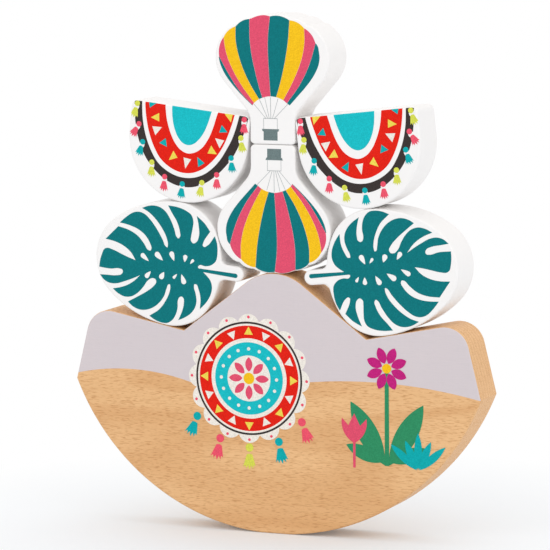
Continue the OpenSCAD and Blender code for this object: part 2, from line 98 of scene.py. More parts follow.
class RockerSizes(bpy.types.PropertyGroup):
    width: length("Width", "Width across the two lower corners", 240)
    rocking_radius: length("Rocking radius", "Radius of the rocking edge", 129.3)
    rest_flat: length("Rest flat", "Width of the flat that it stands on", 18)
    side_lean: angle("Side lean", "Lean of the short side faces", 13.8)
    shoulder_radius: length("Shoulder radius", "Rounding of the shoulders", 14)
    notch_height: length("Notch height", "Height of the two notches", 111)
    ledge_slope: angle("Ledge slope", "Slope of the ledges", 11.5)
    mound_slope: angle("Mound slope", "Slope of the mound's sides", 37)
    mound_height: length("Mound height", "Height of the mound", 144.9)
    mound_radius: length("Mound radius", "Rounding of the mound's top", 27)
    dune_height: length("Dune height", "Height of the bare wood on the front", 87.7)


class LeafSizes(bpy.types.PropertyGroup):
    length: length("Length", "Length from the back to the tip", 75.9)
    tip_radius: length("Tip radius", "Rounding of the tip", 27)
    shoulder_radius: length("Shoulder radius", "Rounding beside the stem", 26.4)
    shoulder_spread: length("Shoulder spread", "Half distance of the shoulders' centres", 8.4)
    back_radius: length("Back radius", "Rounding of the back edge", 46)
    flank_radius: length("Flank radius", "Rounding of the long edges", 62)
    stem_length: length("Stem length", "Length of the stem", 13.5)
    stem_width: length("Stem width", "Width of the stem", 8.4)
    stem_fillet: length("Stem fillet", "Rounding where the stem leaves the back edge", 4)
    tilt: angle("Tilt", "Tilt of the leaf on its ledge", 6.5)


class HalfRoundSizes(bpy.types.PropertyGroup):
    radius: length("Radius", "Radius of the round edge", 35.6)
    straight: length("Straight", "Height of the straight sides", 17)
    corner: length("Corner", "Rounding of the upper corners", 3.5)
    tilt: angle("Tilt", "Tilt of the block", 6.5)


class BalloonSizes(bpy.types.PropertyGroup):
    length: length("Length", "Height from the basket end to the top", 71)
    belly: length("Belly", "Height of the widest place", 47)
    half_width: length("Half width", "Half of the balloon's width", 33.5)
    side_radius: length("Side radius", "Rounding of the sides", 20)
    flare: angle("Flare", "Slope of the lower sides away from upright", 41)
    neck_half: length("Neck half", "Half of the neck's width", 13.2)
    neck_corner: length("Neck corner", "Rounding of the neck's corners", 2.6)
    neck_fillet: length("Neck fillet", "Rounding between neck and balloon", 12)
    scallop: length("Scallop", "Depth of the scallops over the top", 0.6)


class Colours(bpy.types.PropertyGroup):
    beech: colour("Beech", "Bare wood", "#EABD8A")
    white: colour("White", "Paint of the blocks", "#F7F4F2")
    sky: colour("Sky", "Evening sky on the rocker", "#D8CED1")
    teal: colour("Teal", "Ink of the leaves and gores", "#00767B")
    pink: colour("Pink", "Ink of the gores", "#E5516F")
    yellow: colour("Yellow", "Ink of the gores", "#FBC418")
    basket: colour("Basket", "Ink of the basket", "#6F8080")
    rope: colour("Rope", "Ink of the ropes", "#A4AAAA")
    turquoise: colour("Turquoise", "Ink of the inner field", "#14BEC6")
    red: colour("Red", "Ink of the wide band", "#E61E0C")
    dark: colour("Dark", "Ink of the narrow band", "#3A3230")
    lime: colour("Lime", "Ink of the tassels", "#DADE55")
    tassel_pink: colour("Tassel pink", "Ink of the tassels", "#F0556C")
    tassel_teal: colour("Tassel teal", "Ink of the tassels", "#00ACB0")
    sand: colour("Sand yellow", "Ink of the triangles", "#F2DA55")
    plant: colour("Plant", "Green of the plants", "#2F8F62")
    magenta: colour("Magenta", "Ink of the flower", "#C4207C")
    cream: colour("Cream", "Ground of the rosette", "#F3ECE2")


class StageLook(bpy.types.PropertyGroup):
    floor: colour("Floor", "Colour of the floor", "#EEF2F6")
    key: power("Key light", "Power of the lamp at the front left", 6.2)
    fill: power("Fill light", "Power of the lamp at the front right", 5.3)
    top: power("Top light", "Power of the lamp above", 4.4)
    world: FloatProperty(name="Room", description="Strength of the room's light", default=0.86)


class BalanceGame(bpy.types.PropertyGroup):
    board: PointerProperty(type=BoardSizes)
    rocker: PointerProperty(type=RockerSizes)
    leaf: PointerProperty(type=LeafSizes)
    half_round: PointerProperty(type=HalfRoundSizes)
    balloon: PointerProperty(type=BalloonSizes)
    colours: PointerProperty(type=Colours)
    stage: PointerProperty(type=StageLook)


def in_mm(group):
    """The lengths of a group in millimetres and its angles in degrees, by name."""
    found = {}
    for prop in group.bl_rna.properties:
        if prop.type == "FLOAT" and not prop.is_array:
            value = getattr(group, prop.identifier)
            if prop.unit == "LENGTH":
                value /= MM
            elif prop.unit == "ROTATION":
                value = degrees(value)
            found[prop.identifier] = value
    return SimpleNamespace(**found)


# Drawing with line and compasses, in millimetres, x to the right and z up

# The longest step along an arc, in degrees and in millimetres, and along a smooth line
LONGEST_TURN, LONGEST_STEP, LONGEST_FLOW_STEP = 10, 1.5, 0.8
DISC_STEPS, RING_STEPS = 36, 96
# Points nearer than this are one point
SAME = 0.001


def at(x, z):
    return Vector((x, z))


def turned(point, turn):
    return Matrix.Rotation(radians(turn), 2) @ Vector(point)


def mirrored(point):
    return at(-point[0], point[1])


def crossing(p, u, q, v):
    """Where the line through p along u crosses the line through q along v."""
    w = q - p
    return p + u * ((w.x * v.y - w.y * v.x) / (u.x * v.y - u.y * v.x))


def meeting(p, a, q, b):
    """The point a from p and b from q, on the left going from p to q."""
    d = (q - p).length
    u = (q - p) / d
    along = (a * a - b * b + d * d) / (2 * d)
    return p + u * along + at(-u.y, u.x) * sqrt(max(0, a * a - along * along))


def spun(mesh, things, centre, turn, steps, merge=False):
    """Swings things about a centre on the sheet, in degrees against the clock."""
    return bmesh.ops.spin(
        mesh,
        geom=things,
        cent=(centre[0], 0, centre[1]),
        axis=(0, -1, 0),
        dvec=(0, 0, 0),
        angle=radians(turn),
        steps=steps,
        use_merge=merge,
        use_normal_flip=False,
        use_duplicate=False,
    )["geom_last"]


def corners_in(things):
    return [thing for thing in things if isinstance(thing, bmesh.types.BMVert)]


class Sheet:
    """Flat shapes in the plane of the printed face, each drawn as one closed line."""

    def __init__(self):
        self.mesh = bmesh.new()

    def start(self, point):
        self.first = self.end = self.mesh.verts.new((point[0], 0, point[1]))
        return self

    def here(self):
        return at(self.end.co.x, self.end.co.z)

    def line(self, *points):
        for point in points:
            new = bmesh.ops.extrude_vert_indiv(self.mesh, verts=[self.end])["verts"][0]
            new.co = (point[0], 0, point[1])
            self.end = new
        return self

    def swing(self, centre, turn):
        """An arc about the centre, positive against the clock."""
        way = abs(radians(turn)) * (self.here() - centre).length
        steps = max(3, ceil(abs(turn) / LONGEST_TURN), ceil(way / LONGEST_STEP))
        self.end = corners_in(spun(self.mesh, [self.end], centre, turn, steps))[0]
        return self

    def round(self, centre, point, clockwise=False):
        """An arc about the centre to the point."""
        a, b = self.here() - centre, Vector(point) - centre
        turn = degrees(atan2(b.y, b.x) - atan2(a.y, a.x)) % 360
        self.swing(centre, turn - 360 if clockwise else turn)
        self.end.co = (point[0], 0, point[1])
        return self

    def bend(self, point, bulge):
        """A shallow arc to the point, whose middle lies bulge to the right of the straight way."""
        a, b = self.here(), Vector(point)
        chord = (b - a).length
        if abs(bulge) < chord * 0.002:
            return self.line(point)
        reach = (chord * chord / 4 + bulge * bulge) / (2 * abs(bulge))
        u = (b - a) / chord
        side = at(-u.y, u.x) * (1 if bulge > 0 else -1)
        centre = (a + b) / 2 + side * (reach - abs(bulge))
        return self.round(centre, point, clockwise=bulge < 0)

    def flow(self, *points):
        """A smooth line through the points."""
        p = [self.here(), *map(Vector, points)]
        reach = [(b - a).length for a, b in zip(p, p[1:])]
        way = [(b - a) / r for a, b, r in zip(p, p[1:], reach)]
        lean = [(a * s + b * r) / (r + s) for a, b, r, s in zip(way, way[1:], reach, reach[1:])]
        lean = [way[0], *lean, way[-1]]
        for a, b, u, v, r in zip(p, p[1:], lean, lean[1:], reach):
            steps = max(2, ceil(r / LONGEST_FLOW_STEP))
            self.line(*interpolate_bezier(a, a + u * r / 3, b - v * r / 3, b, steps + 1)[1:])
        return self

    def fill(self):
        if (self.end.co - self.first.co).length > SAME:
            bmesh.ops.contextual_create(self.mesh, geom=[self.end, self.first])
        else:
            bmesh.ops.pointmerge(
                self.mesh, verts=[self.end, self.first], merge_co=self.first.co.copy()
            )
        bmesh.ops.contextual_create(self.mesh, geom=[e for e in self.mesh.edges if e.is_wire])
        return self

    def disc(self, centre, radius):
        upright = Matrix.Translation((centre[0], 0, centre[1])) @ Matrix.Rotation(pi / 2, 4, "X")
        bmesh.ops.create_circle(
            self.mesh, cap_ends=True, radius=radius, segments=DISC_STEPS, matrix=upright
        )
        return self

    def ring(self, centre, outer, inner):
        ends = [self.mesh.verts.new((centre[0] + r, 0, centre[1])) for r in (inner, outer)]
        spun(self.mesh, [self.mesh.edges.new(ends)], centre, 360, RING_STEPS, merge=True)
        return self

    def plate(self, front, back):
        """Gives every shape on the sheet its thickness, between two depths in millimetres."""
        mesh = self.mesh
        bmesh.ops.translate(mesh, verts=mesh.verts, vec=(0, front, 0))
        grown = bmesh.ops.extrude_face_region(mesh, geom=mesh.faces[:])["geom"]
        bmesh.ops.translate(mesh, verts=corners_in(grown), vec=(0, back - front, 0))
        bmesh.ops.recalc_face_normals(mesh, faces=mesh.faces)
        return mesh


# Boards and print

# Smallest angle between two faces, in degrees, that reads as a sharp edge
SHARP_FROM = 35
EASED_STEPS = 5
# How much higher each further layer of ink lies, as a share of the first one's height
LAYER_RISE = 0.6
# How far a cutting plate stands out of the wood
PROUD = 1


def board(outline, sizes):
    """A block sawn from the board, with its front and back edges sanded round."""
    half = sizes.thickness / 2
    mesh = outline.plate(-half, half)
    edges = [e for e in mesh.edges if abs(e.verts[0].co.y - e.verts[1].co.y) < SAME]
    bmesh.ops.bevel(
        mesh,
        geom=edges,
        offset=sizes.eased_edge,
        offset_type="OFFSET",
        segments=EASED_STEPS,
        profile=0.5,
        affect="EDGES",
        clamp_overlap=False,
        material=-1,
    )
    bmesh.ops.recalc_face_normals(mesh, faces=mesh.faces)
    return mesh


def swollen(mesh, height):
    """A copy of a block that is larger all round by the height of the ink."""
    copy = mesh.copy()
    copy.normal_update()
    for vert in copy.verts:
        vert.co += vert.normal * height
    return copy


def combined(first, second, operation):
    """What two solids have in common, or what the second leaves of the first."""
    things = []
    for mesh in (first, second):
        data = bpy.data.meshes.new("tool")
        mesh.to_mesh(data)
        things.append(bpy.data.objects.new("tool", data))
        bpy.context.scene.collection.objects.link(things[-1])
    cut = things[0].modifiers.new("cut", "BOOLEAN")
    cut.operation = operation
    cut.solver = "EXACT"
    cut.object = things[1]
    result = bmesh.new()
    result.from_object(things[0], bpy.context.evaluated_depsgraph_get())
    for thing in things:
        bpy.data.meshes.remove(thing.data)
    return result


class Print:
    """The ink on one block: each field starts in the wood, and higher layers cover lower ones."""

    def __init__(self, sizes, body):
        self.sizes = sizes
        self.body = body
        self.front = -sizes.thickness / 2
        self.mesh = bmesh.new()
        self.inks = []
        self.skins = {}

    def lay(self, sheet, ink, layer=1, to_edge=False, without=None):
        """Adds the shapes of a sheet in one ink. Where they reach the edge, they follow it."""
        s = self.sizes
        high = s.ink_height * (1 + LAYER_RISE * (layer - 1))
        back = self.front + s.ink_wrap
        if to_edge:
            if layer not in self.skins:
                self.skins[layer] = swollen(self.body, high)
            mesh = combined(sheet.plate(self.front - PROUD, back), self.skins[layer], "INTERSECT")
        else:
            mesh = sheet.plate(self.front - high, back)
        if without:
            through = without.plate(self.front - 2 * PROUD, back + PROUD)
            mesh = combined(mesh, through, "DIFFERENCE")
        return self.add(mesh, ink)

    def add(self, mesh, ink):
        if ink not in self.inks:
            self.inks.append(ink)
        for face in mesh.faces:
            face.material_index = self.inks.index(ink)
        data = bpy.data.meshes.new("ink")
        mesh.to_mesh(data)
        self.mesh.from_mesh(data)
        bpy.data.meshes.remove(data)
        return self


def place(mesh, turn, flip, over):
    """A copy of a block in metres: turned over on its head, tilted, and mirrored for the left."""
    mesh = mesh.copy()
    if over:
        bmesh.ops.scale(mesh, vec=(1, 1, -1), verts=mesh.verts)
    tilt = Matrix.Rotation(-radians(turn), 3, "Y")
    bmesh.ops.rotate(mesh, cent=(0, 0, 0), matrix=tilt, verts=mesh.verts)
    bmesh.ops.scale(mesh, vec=(-MM if flip else MM, MM, MM), verts=mesh.verts)
    if flip != over:
        bmesh.ops.reverse_faces(mesh, faces=mesh.faces)
    return mesh


def seat(mesh, node):
    """How far a block has to move to lie in its node's box."""
    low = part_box(node)[0]
    return Vector(
        (low.x - min(v.co.x for v in mesh.verts), 0, low.z - min(v.co.z for v in mesh.verts))
    )


def piece(name, mesh, finishes, node, replaces):
    """Makes the object of a finished mesh with its finishes, hangs it under the root body, and
    hides the node's part when it replaces it.
    """
    data = bpy.data.meshes.new(name)
    mesh.to_mesh(data)
    for face in data.polygons:
        face.use_smooth = True
    data.set_sharp_from_angle(angle=radians(SHARP_FROM))
    for finish in finishes:
        data.materials.append(finish)
    thing = bpy.data.objects.new(name, data)
    bpy.context.scene.collection.objects.link(thing)
    weigh = thing.modifiers.new("even shading", "WEIGHTED_NORMAL")
    weigh.keep_sharp = True
    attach(thing, "root")
    if replaces:
        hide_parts(node)


def block(node, body, ink, body_finish, inks, turn=0, flip=False, over=False):
    """One block: its board and the print on it."""
    solid = place(body, turn, flip, over)
    shift = seat(solid, node)
    name = node.replace("_block", "")
    printed = [inks[ink_name] for ink_name in ink.inks]
    for mesh, part, finishes in (
        (solid, "board", [body_finish]),
        (place(ink.mesh, turn, flip, over), "print", printed),
    ):
        bmesh.ops.translate(mesh, verts=mesh.verts, vec=shift)
        piece(f"{name}_{part}", mesh, finishes, node, part == "board")


# Finishes


class Signal:
    """A shader socket that can be used in a sum."""

    def __init__(self, finish, socket):
        self.finish = finish
        self.socket = socket

    def __add__(self, other):
        return self.finish.maths("ADD", self, other)

    def __radd__(self, other):
        return self.finish.maths("ADD", other, self)

    def __sub__(self, other):
        return self.finish.maths("SUBTRACT", self, other)

    def __rsub__(self, other):
        return self.finish.maths("SUBTRACT", other, self)

    def __mul__(self, other):
        return self.finish.maths("MULTIPLY", self, other)

    def __rmul__(self, other):
        return self.finish.maths("MULTIPLY", other, self)


class Finish:
    """The nodes of a material or of the world."""

    def __init__(self, owner):
        owner.use_nodes = True
        self.owner = owner
        self.tree = owner.node_tree
        self.tree.nodes.clear()

    def add(self, kind, settings=None, values=None, output=0):
        node = self.tree.nodes.new(kind)
        for key, value in (settings or {}).items():
            if key == "stops":
                for element, (position, level) in zip(node.color_ramp.elements, value):
                    element.position = position
                    element.color = (level, level, level, 1)
            else:
                setattr(node, key, value)
        for key, value in (values or {}).items():
            if isinstance(value, Signal):
                self.tree.links.new(value.socket, node.inputs[key])
            else:
                node.inputs[key].default_value = value
        return Signal(self, node.outputs[output])

    def maths(self, operation, *values):
        return self.add("ShaderNodeMath", {"operation": operation}, dict(enumerate(values)))

    def noise(self, scale, detail=2, roughness=0.5):
        """Noise with its own number of waves to the metre along x, y and z."""
        where = self.add("ShaderNodeTexCoord", output="Object")
        where = self.add("ShaderNodeMapping", values={"Vector": where, "Scale": scale})
        values = {"Vector": where, "Scale": 1, "Detail": detail, "Roughness": roughness}
        return self.add("ShaderNodeTexNoise", values=values)

    def steep(self, signal, low, high):
        """0 below low, 1 above high, and a ramp between them."""
        return self.add("ShaderNodeValToRGB", {"stops": ((low, 0), (high, 1))}, {0: signal})

    def mix(self, factor, first, second):
        """A colour between two others, which are given as signals or as fixed colours."""
        ends = [c if isinstance(c, Signal) else (*c, 1) for c in (first, second)]
        values = {0: factor, 6: ends[0], 7: ends[1]}
        return self.add("ShaderNodeMix", {"data_type": "RGBA"}, values, 2)

    def surface(self, colour, roughness, height, depth, gloss):
        """Ends a material, with a bump of the height that is depth millimetres deep."""
        bump = {"Height": height, "Distance": depth * MM, "Strength": 1}
        values = {
            "Base Color": colour,
            "Roughness": roughness,
            "Specular IOR Level": gloss,
            "Normal": self.add("ShaderNodeBump", values=bump),
        }
        return self.end(self.add("ShaderNodeBsdfPrincipled", values=values))

    def end(self, shader, kind="ShaderNodeOutputMaterial"):
        self.tree.links.new(shader.socket, self.tree.nodes.new(kind).inputs["Surface"])
        return self.owner


def shade(tone, *factors):
    """A colour times one factor, or times one each for its red, green and blue."""
    factors = factors if len(factors) == 3 else factors * 3
    return [min(1, part * factor) for part, factor in zip(tone, factors)]


def new_finish(name):
    return Finish(bpy.data.materials.new(name))


def wood_flecks(f):
    """The short dark rays of beech, long along the board."""
    return f.steep(f.noise((270, 1500, 2500), 1, 0.4), 0.55, 0.67)


def beech_finish(tone):
    """Oiled beech: flecks along the grain, fine pores, and the growth lines of the board."""
    f = new_finish("oiled_beech")
    where = f.add("ShaderNodeTexCoord", output="Object")
    depth = f.add("ShaderNodeSeparateXYZ", values={0: where}, output=1)
    growth = depth * 1600 + f.noise((3.2, 6, 17), 1, 0.4) * 34
    rings = f.steep(f.maths("SINE", growth), 0.3, 1.0)
    cloud = f.noise((7, 40, 26), 2, 0.5)
    lines = f.steep(f.noise((14, 900, 620), 3, 0.6), 0.42, 0.64)
    flecks = wood_flecks(f)
    pores = f.steep(f.noise((800, 5200, 5200), 1, 0.5), 0.56, 0.70)
    colour = f.mix(cloud, shade(tone, 1.07), shade(tone, 0.95, 0.90, 0.83))
    colour = f.mix(rings * 0.58, colour, shade(tone, 0.84, 0.72, 0.60))
    colour = f.mix(lines * 0.30, colour, shade(tone, 0.84, 0.74, 0.62))
    colour = f.mix(flecks * 0.66, colour, shade(tone, 0.64, 0.46, 0.30))
    colour = f.mix(pores * 0.16, colour, shade(tone, 0.62, 0.46, 0.32))
    height = lines * 0.4 - flecks * 0.5 - pores * 0.3
    return f.surface(colour, 0.48 + flecks * 0.14, height, 0.05, gloss=0.3)


def paint_finish(name, tone):
    """Satin paint on wood: nearly even, with the grain just felt through it."""
    f = new_finish(name)
    cloud = f.noise((30, 30, 30))
    grain = f.noise((60, 900, 1100), 3, 0.6)
    peel = f.noise((700, 700, 700))
    colour = f.mix(cloud, tone, shade(tone, 0.96))
    colour = f.mix(grain * 0.25, colour, shade(tone, 0.93))
    return f.surface(colour, 0.42 + cloud * 0.14, grain * 0.6 + peel * 0.4, 0.03, gloss=0.3)


def ink_finish(name, tone):
    """Screen ink: a fine speckle, and the grain of the board under it."""
    f = new_finish(name)
    speckle = f.steep(f.noise((1500, 1500, 1500), 2, 0.7), 0.38, 0.66)
    streak = f.noise((160, 900, 1500))
    colour = f.mix(speckle, shade(tone, 0.86), [min(1, part * 1.08 + 0.002) for part in tone])
    colour = f.mix(streak * 0.22, colour, shade(tone, 0.86))
    height = streak * 0.6 + speckle * 0.4
    return f.surface(colour, 0.42 + streak * 0.12, height, 0.02, gloss=0.1)


def sky_finish(name, tone):
    """Thin pale ink with a faint weave from the screen, through which the wood shows."""
    f = new_finish(name)
    lines = f.noise((40, 900, 1900), 2, 0.6)
    rows = f.noise((1900, 900, 60), 2, 0.6)
    flecks = wood_flecks(f)
    colour = f.mix(f.noise((22, 22, 30)), shade(tone, 1.04, 1.02, 1), shade(tone, 0.95))
    colour = f.mix(lines * 0.5, colour, shade(tone, 0.88))
    colour = f.mix(rows * 0.4, colour, shade(tone, 0.90))
    colour = f.mix(flecks * 0.14, colour, shade(tone, 0.82))
    height = lines * 0.5 + rows * 0.3 - flecks * 0.3
    return f.surface(colour, 0.44 + lines * 0.1, height, 0.03, gloss=0.25)


def ink_finishes(colours, names):
    """The finish of each named ink, made once and shared by all the blocks."""
    found = {}
    for name in names:
        maker = sky_finish if name == "sky" else ink_finish
        made = bpy.data.materials.get(name + "_ink")
        found[name] = made or maker(name + "_ink", getattr(colours, name))
    return found


def white_finish(colours):
    return bpy.data.materials.get("white_paint") or paint_finish("white_paint", colours.white)


# The rocker


def rocker_outline(s):
    sag = s.rocking_radius - sqrt(s.rocking_radius**2 - (s.rest_flat / 2) ** 2)
    middle = at(0, s.rocking_radius - sag)
    corner = at(s.width / 2, middle.y - sqrt(s.rocking_radius**2 - (s.width / 2) ** 2))
    mound = at(0, s.mound_height - s.mound_radius)
    apex = mound.y + s.mound_radius / cos(radians(s.mound_slope))
    notch = at((apex - s.notch_height) / tan(radians(s.mound_slope)), s.notch_height)
    ledge, side = turned((1, 0), s.ledge_slope), turned((0, 1), s.side_lean)
    tip = crossing(notch, ledge, corner, side)
    r = s.shoulder_radius
    shoulder = crossing(
        tip + turned((0, -r), s.ledge_slope), ledge, tip + turned((-r, 0), s.side_lean), side
    )
    low, high = shoulder + turned((r, 0), s.side_lean), shoulder + turned((0, r), s.ledge_slope)
    crest = mound + turned((0, s.mound_radius), -s.mound_slope)
    sheet = Sheet().start(at(s.rest_flat / 2, 0)).round(middle, corner).line(low)
    sheet.round(shoulder, high).line(notch, crest).round(mound, mirrored(crest))
    sheet.line(mirrored(notch), mirrored(high)).round(mirrored(shoulder), mirrored(low))
    sheet.line(mirrored(corner)).round(middle, at(-s.rest_flat / 2, 0))
    return sheet.fill()


def triangle(sheet, centre, size, turn):
    corners = [centre + turned((size, 0), turn + k * 120) for k in range(3)]
    return sheet.start(corners[0]).line(*corners[1:]).fill()


def lens(sheet, root, width, reach, turn):
    """A petal or blade from its root."""
    tip = root + turned((reach, 0), turn)
    bulge = width / 2
    return sheet.start(root).bend(tip, bulge).bend(root, bulge).fill()


def tassel(sheet, centre, turn, size=1.0):
    """A head, and below it a skirt that ends in four strands."""

    def point(x, z):
        return centre + turned((x * size, z * size), turn)

    sheet.disc(centre, 1.55 * size)
    sheet.start(point(1.1, -2.6)).bend(point(-1.1, -2.6), 0.25 * size)
    sheet.flow(point(-1.75, -4.6), point(-2.6, -7.4)).line(point(-1.7, -6.5), point(-1.35, -7.9))
    sheet.line(point(-0.7, -6.6), point(0.05, -8.3), point(0.55, -6.6), point(1.5, -7.9))
    sheet.line(point(1.45, -6.4), point(2.35, -6.9)).flow(point(1.7, -4.6), point(1.1, -2.6))
    return sheet.fill()


def collar(sheet, centre, turn):
    """The pale thread tied round a tassel, between its head and its skirt."""
    corners = ((-1.5, -0.9), (-1.3, -2.9), (1.3, -2.9), (1.5, -0.9))
    corners = [centre + turned(corner, turn) for corner in corners]
    sheet.start(corners[0]).bend(corners[1], 0.2).line(corners[2])
    return sheet.bend(corners[3], 0.2).fill()


def rosette(ink, centre, r, scallops=16):
    """A round ornament of scallops, rings, triangles, dots and petals, with tassels below."""
    step = 360 / scallops
    first = turned((r, 0), -step / 2)
    rim = Sheet().start(centre + first)
    for k in range(scallops):
        rim.bend(centre + turned(first, (k + 1) * step), 4.6)
    ink.lay(rim.fill(), "cream", 2)
    for k in range(5):
        turn = (k - 2) * 27
        head = centre + turned((0, -r - 6.6), turn)
        name = ("tassel_teal", "tassel_pink", "lime")[k % 3]
        ink.lay(tassel(Sheet(), head, turn * 0.4, 1.5), name, 3)
    ink.lay(Sheet().ring(centre, r - 0.4, r - 1.5), "dark", 3)
    ink.lay(Sheet().ring(centre, r - 2.6, r * 0.7), "red", 3)
    ink.lay(Sheet().ring(centre, r * 0.63, r * 0.4), "turquoise", 3)
    warm, pale, petals, cream_dots, pink_dots = [Sheet() for _ in range(5)]
    for k in range(scallops):
        turn = k * step
        sheet = pale if k % 2 else warm
        triangle(sheet, centre + turned((r * 0.81, 0), turn), 3.0, turn + k % 2 * 180)
        cream_dots.disc(centre + turned((r * 0.515, 0), turn), r / 34)
        pink_dots.disc(centre + turned((r + 2.2, 0), turn), r / 40)
    for k in range(8):
        lens(petals, centre + turned((r * 0.12, 0), k * 45), r * 0.13, r * 0.25, k * 45)
    ink.lay(warm, "sand", 4).lay(petals, "pink", 4)
    ink.lay(Sheet().disc(centre, r * 0.1), "yellow", 4)
    ink.lay(cream_dots, "cream", 4).lay(pink_dots, "tassel_pink", 3).lay(pale, "cream", 4)


def plants(ink, foot, height, flower):
    """A flower on a leafy stem, between a tulip and a tuft of grass."""
    head = foot + at(0, height + flower * 0.8)
    green = Sheet().start(foot + at(1.3, 2)).line(head + at(1.1, 0), head + at(-1.1, 0))
    green.line(foot + at(-1.3, 2)).fill()
    for layer, turn in ((2, 60), (2.5, 120)):
        blade = lens(Sheet(), foot + turned((2.6, 0), turn), height * 0.26, height * 0.86, turn)
        ink.lay(blade, "plant", layer)
    ink.lay(green, "plant", 4)
    for layer, turn in ((3, 22), (3.5, 158)):
        start = foot + turned((2.6, 0), turn) + at(0, 3)
        ink.lay(lens(Sheet(), start, height * 0.17, height * 0.5, turn), "plant", layer)
    petals = Sheet()
    for k in range(8):
        turn = (k + 0.5) * 45
        lens(petals, head + turned((flower * 0.24, 0), turn), flower * 0.44, flower * 0.78, turn)
    ink.lay(petals, "magenta", 5).lay(Sheet().disc(head, flower * 0.22), "yellow", 6)
    tulip = Sheet().start(foot + at(-18.3, 0)).line(foot + at(-18.3, 15), foot + at(-19.7, 15))
    ink.lay(tulip.line(foot + at(-19.7, 0)).fill(), "pink", 5)
    cup, base = Sheet(), foot + at(-19, 13.6)
    cup.start(base).bend(base + at(7.2, 13.6), 2.6).line(base + at(3.4, 9.6))
    cup.line(base + at(0, 16.4), base + at(-3.4, 9.6), base + at(-7.2, 13.6)).bend(base, 2.6)
    ink.lay(cup.fill(), "pink", 6)
    for k, turn in enumerate((42, 66, 90, 114, 138)):
        blade = lens(Sheet(), foot + at(18, 0) + turned((1.2, 0), turn), 4.4, 20 - k % 2 * 3, turn)
        ink.lay(blade, "tassel_teal", 4 + k / 2)


# The two dunes, nearer and farther: radius, place of the top, and how far the line runs past it
NEAR_DUNE = (133, -88, 72)
FAR_DUNE = (300, 55, 105)
# Past the rocker on every side, so that a field is cut by its edge
OUTSIDE = 160
ROSETTE_CENTRE, ROSETTE_RADIUS = (-15, 86), 32
PLANTS_FOOT, FLOWER_HEIGHT, FLOWER_SIZE = (66, 40), 46, 12


def bare_ground(height):
    """The field under the line of the dunes, which stays bare wood."""
    (near, near_x, near_run), (far, far_x, far_run) = NEAR_DUNE, FAR_DUNE
    left, right = at(near_x, height - near), at(far_x, height - far)
    sheet = Sheet().start(at(-OUTSIDE, 30)).line(at(OUTSIDE, 30))
    sheet.line(right + at(far_run, sqrt(far**2 - far_run**2)))
    sheet.round(right, meeting(left, near, right, far))
    return sheet.round(left, left + at(-near_run, sqrt(near**2 - near_run**2))).fill()


def rocker(game):
    sizes, s = in_mm(game.board), in_mm(game.rocker)
    body = board(rocker_outline(s), sizes)
    ink = Print(sizes, body)
    sky = Sheet().start(at(-OUTSIDE, 40)).line(at(OUTSIDE, 40))
    sky.line(at(OUTSIDE, OUTSIDE), at(-OUTSIDE, OUTSIDE)).fill()
    ink.lay(sky, "sky", to_edge=True, without=bare_ground(s.dune_height))
    rosette(ink, at(*ROSETTE_CENTRE), ROSETTE_RADIUS)
    plants(ink, at(*PLANTS_FOOT), FLOWER_HEIGHT, FLOWER_SIZE)
    finishes = ink_finishes(game.colours, ink.inks)
    block("rocker_base", body, ink, beech_finish(game.colours.beech), finishes)


def pair(kind, body, ink, colours, tilt, over_right=False):
    """The left and the right block of one kind, which lean towards the middle."""
    finishes, white = ink_finishes(colours, ink.inks), white_finish(colours)
    for side, flip, over in (("left", True, False), ("right", False, over_right)):
        node, slot = f"{kind}_block_{side}", f"{kind}_{side}_paint"
        block(node, body, ink, white, finishes, tilt, flip, over)


# The leaf blocks


def leaf_outline(s):
    """The leaf with its stem to the left."""
    tip = at(s.length / 2 - s.tip_radius, 0)
    back = at(s.back_radius - s.length / 2, 0)
    apart = s.back_radius - s.shoulder_radius
    shoulder = back + at(-sqrt(apart**2 - s.shoulder_spread**2), s.shoulder_spread)
    past_tip, past_shoulder = s.flank_radius - s.tip_radius, s.flank_radius - s.shoulder_radius
    flank = meeting(tip, past_tip, shoulder, past_shoulder)

    def low(p):
        return at(p.x, -p.y)

    def on(centre, through, radius):
        return centre + (through - centre).normalized() * radius

    high_tip, high_side = on(flank, tip, s.flank_radius), on(flank, shoulder, s.flank_radius)
    high_back = on(back, shoulder, s.back_radius)
    half, f = s.stem_width / 2, s.stem_fillet
    fillet = at(back.x - sqrt((s.back_radius + f) ** 2 - (half + f) ** 2), half + f)
    root, foot = on(back, fillet, s.back_radius), at(fillet.x, half)
    end = at(-s.length / 2 - s.stem_length + half, half)
    sheet = Sheet().start(low(high_tip)).round(tip, high_tip).round(flank, high_side)
    sheet.round(shoulder, high_back).round(back, root).round(fillet, foot, clockwise=True)
    sheet.line(end).round(at(end.x, 0), low(end)).line(low(foot))
    sheet.round(low(fillet), low(root), clockwise=True).round(back, low(high_back))
    return sheet.round(low(shoulder), low(high_side)).round(low(flank), low(high_tip)).fill()


